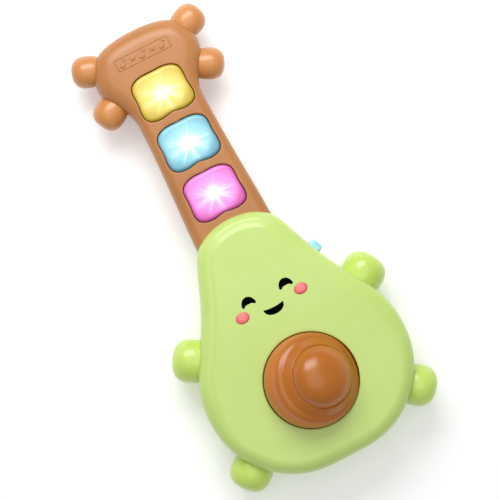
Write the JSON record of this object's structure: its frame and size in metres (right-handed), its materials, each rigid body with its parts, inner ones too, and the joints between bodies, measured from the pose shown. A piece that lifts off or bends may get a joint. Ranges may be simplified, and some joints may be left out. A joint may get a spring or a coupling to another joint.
{
  "type": "toy electric guitar",
  "caption": "Infant's toy guitar shaped as a smiling avocado, with a brown neck, round pegs, lit push buttons, a stepped strum knob and stubby arms and legs.",
  "frame": {"origin": "on the flat back, under the middle of the round opening that holds the strum knob", "axes": "+Z out of the face, +Y along the neck to the headstock, +X to the side of the slide knob"},
  "size_m": [0.1512, 0.3034, 0.0724],
  "materials": {
    "body_green": "satin moulded ABS, light yellow-green",
    "limb_green": "glossy moulded ABS, yellow-green",
    "neck_brown": "satin moulded ABS, chestnut brown",
    "peg_brown": "glossy moulded ABS, chestnut brown",
    "knob_brown": "glossy moulded ABS, darker brown",
    "button_yellow": "translucent tinted plastic, lit from below",
    "button_blue": "translucent tinted plastic, lit from below",
    "button_pink": "translucent tinted plastic, lit from below",
    "slide_blue": "glossy moulded ABS, light blue",
    "silicone": "translucent silicone",
    "circuit_board": "green solder mask",
    "lamp_clear": "clear lamp resin",
    "steel": "zinc-plated steel",
    "spring_steel": "nickel-plated steel",
    "inner_plastic": "natural moulded plastic",
    "component_black": "black moulded component",
    "capacitor_can": "aluminium can",
    "speaker_steel": "black-painted steel",
    "speaker_magnet": "ferrite magnet",
    "speaker_paper": "black paper cone",
    "battery_sleeve": "plain dark printed sleeve",
    "lead_black": "black PVC insulation"
  },
  "bodies": {
    "guitar": {"body_front_shell": "body_green", "body_back_shell": "body_green", "neck_front_shell": "neck_brown", "neck_back_shell": "neck_brown", "peg_upper_right": "peg_brown", "peg_upper_left": "peg_brown", "peg_lower_right": "peg_brown", "peg_lower_left": "peg_brown", "arm_right": "limb_green", "arm_left": "limb_green", "leg_right": "limb_green", "leg_left": "limb_green", "return_boot_yellow": "silicone", "return_boot_blue": "silicone", "return_boot_pink": "silicone", "neck_board": "circuit_board", "main_board": "circuit_board", "button_lamps": "lamp_clear", "neck_board_screws": "steel", "board_screws": "steel", "strum_post_screws": "steel", "body_screws": "steel", "neck_screws": "steel", "strum_post": "inner_plastic", "strum_gimbal_pin": "steel", "strum_switches": "component_black", "sound_chip": "component_black", "capacitor": "capacitor_can", "speaker_basket": "speaker_steel", "speaker_magnet": "speaker_magnet", "speaker_cone": "speaker_paper", "slide_switch": "component_black", "slide_switch_bracket": "inner_plastic", "battery_1": "battery_sleeve", "battery_2": "battery_sleeve", "battery_3": "battery_sleeve", "battery_springs": "spring_steel", "battery_contact_plates": "spring_steel", "neck_lead": "lead_black", "speaker_lead": "lead_black", "battery_lead": "lead_black"},
    "button_yellow": {"button_yellow": "button_yellow"},
    "button_blue": {"button_blue": "button_blue"},
    "button_pink": {"button_pink": "button_pink"},
    "gimbal": {"strum_gimbal_ring": "inner_plastic"},
    "strum_knob": {"strum_knob_skirt": "knob_brown", "strum_knob_dome": "knob_brown", "strum_knob_pins": "steel"},
    "slide_knob": {"slide_knob": "slide_blue"},
    "battery_door": {"battery_door": "body_green"},
    "battery_door_screw": {"battery_door_screw": "steel"}
  },
  "joints": [
    {"name": "yellow_press", "type": "slide", "parent": "guitar", "child": "button_yellow", "axis": [0, 0, 1], "range_m": [-0.0018, 0], "stiffness_N_per_m": 400, "springref_m": 0.0015, "deforming": ["return_boot_yellow"]},
    {"name": "blue_press", "type": "slide", "parent": "guitar", "child": "button_blue", "axis": [0, 0, 1], "range_m": [-0.0018, 0], "stiffness_N_per_m": 400, "springref_m": 0.0015, "deforming": ["return_boot_blue"]},
    {"name": "pink_press", "type": "slide", "parent": "guitar", "child": "button_pink", "axis": [0, 0, 1], "range_m": [-0.0018, 0], "stiffness_N_per_m": 400, "springref_m": 0.0015, "deforming": ["return_boot_pink"]},
    {"name": "strum_lean", "type": "hinge", "parent": "guitar", "child": "gimbal", "pos_m": [0, 0, 0.043], "axis": [0, 1, 0], "range_deg": [-44, 0]},
    {"name": "strum_nod", "type": "hinge", "parent": "gimbal", "child": "strum_knob", "pos_m": [0, 0, 0.043], "axis": [0.9272, 0, -0.3746], "range_deg": [-14, 14]},
    {"name": "power_slide", "type": "slide", "parent": "guitar", "child": "slide_knob", "axis": [-0.4015, 0.9159, 0], "range_m": [-0.004, 0.004]},
    {"name": "door_lift_off", "type": "slide", "parent": "guitar", "child": "battery_door", "axis": [0, 0, -1], "range_m": [0, 0.012]},
    {"name": "door_screw_turn", "type": "hinge", "parent": "battery_door", "child": "battery_door_screw", "pos_m": [0, 0.0894, 0.0012], "axis": [0, 0, 1], "continuous": true}
  ]
}
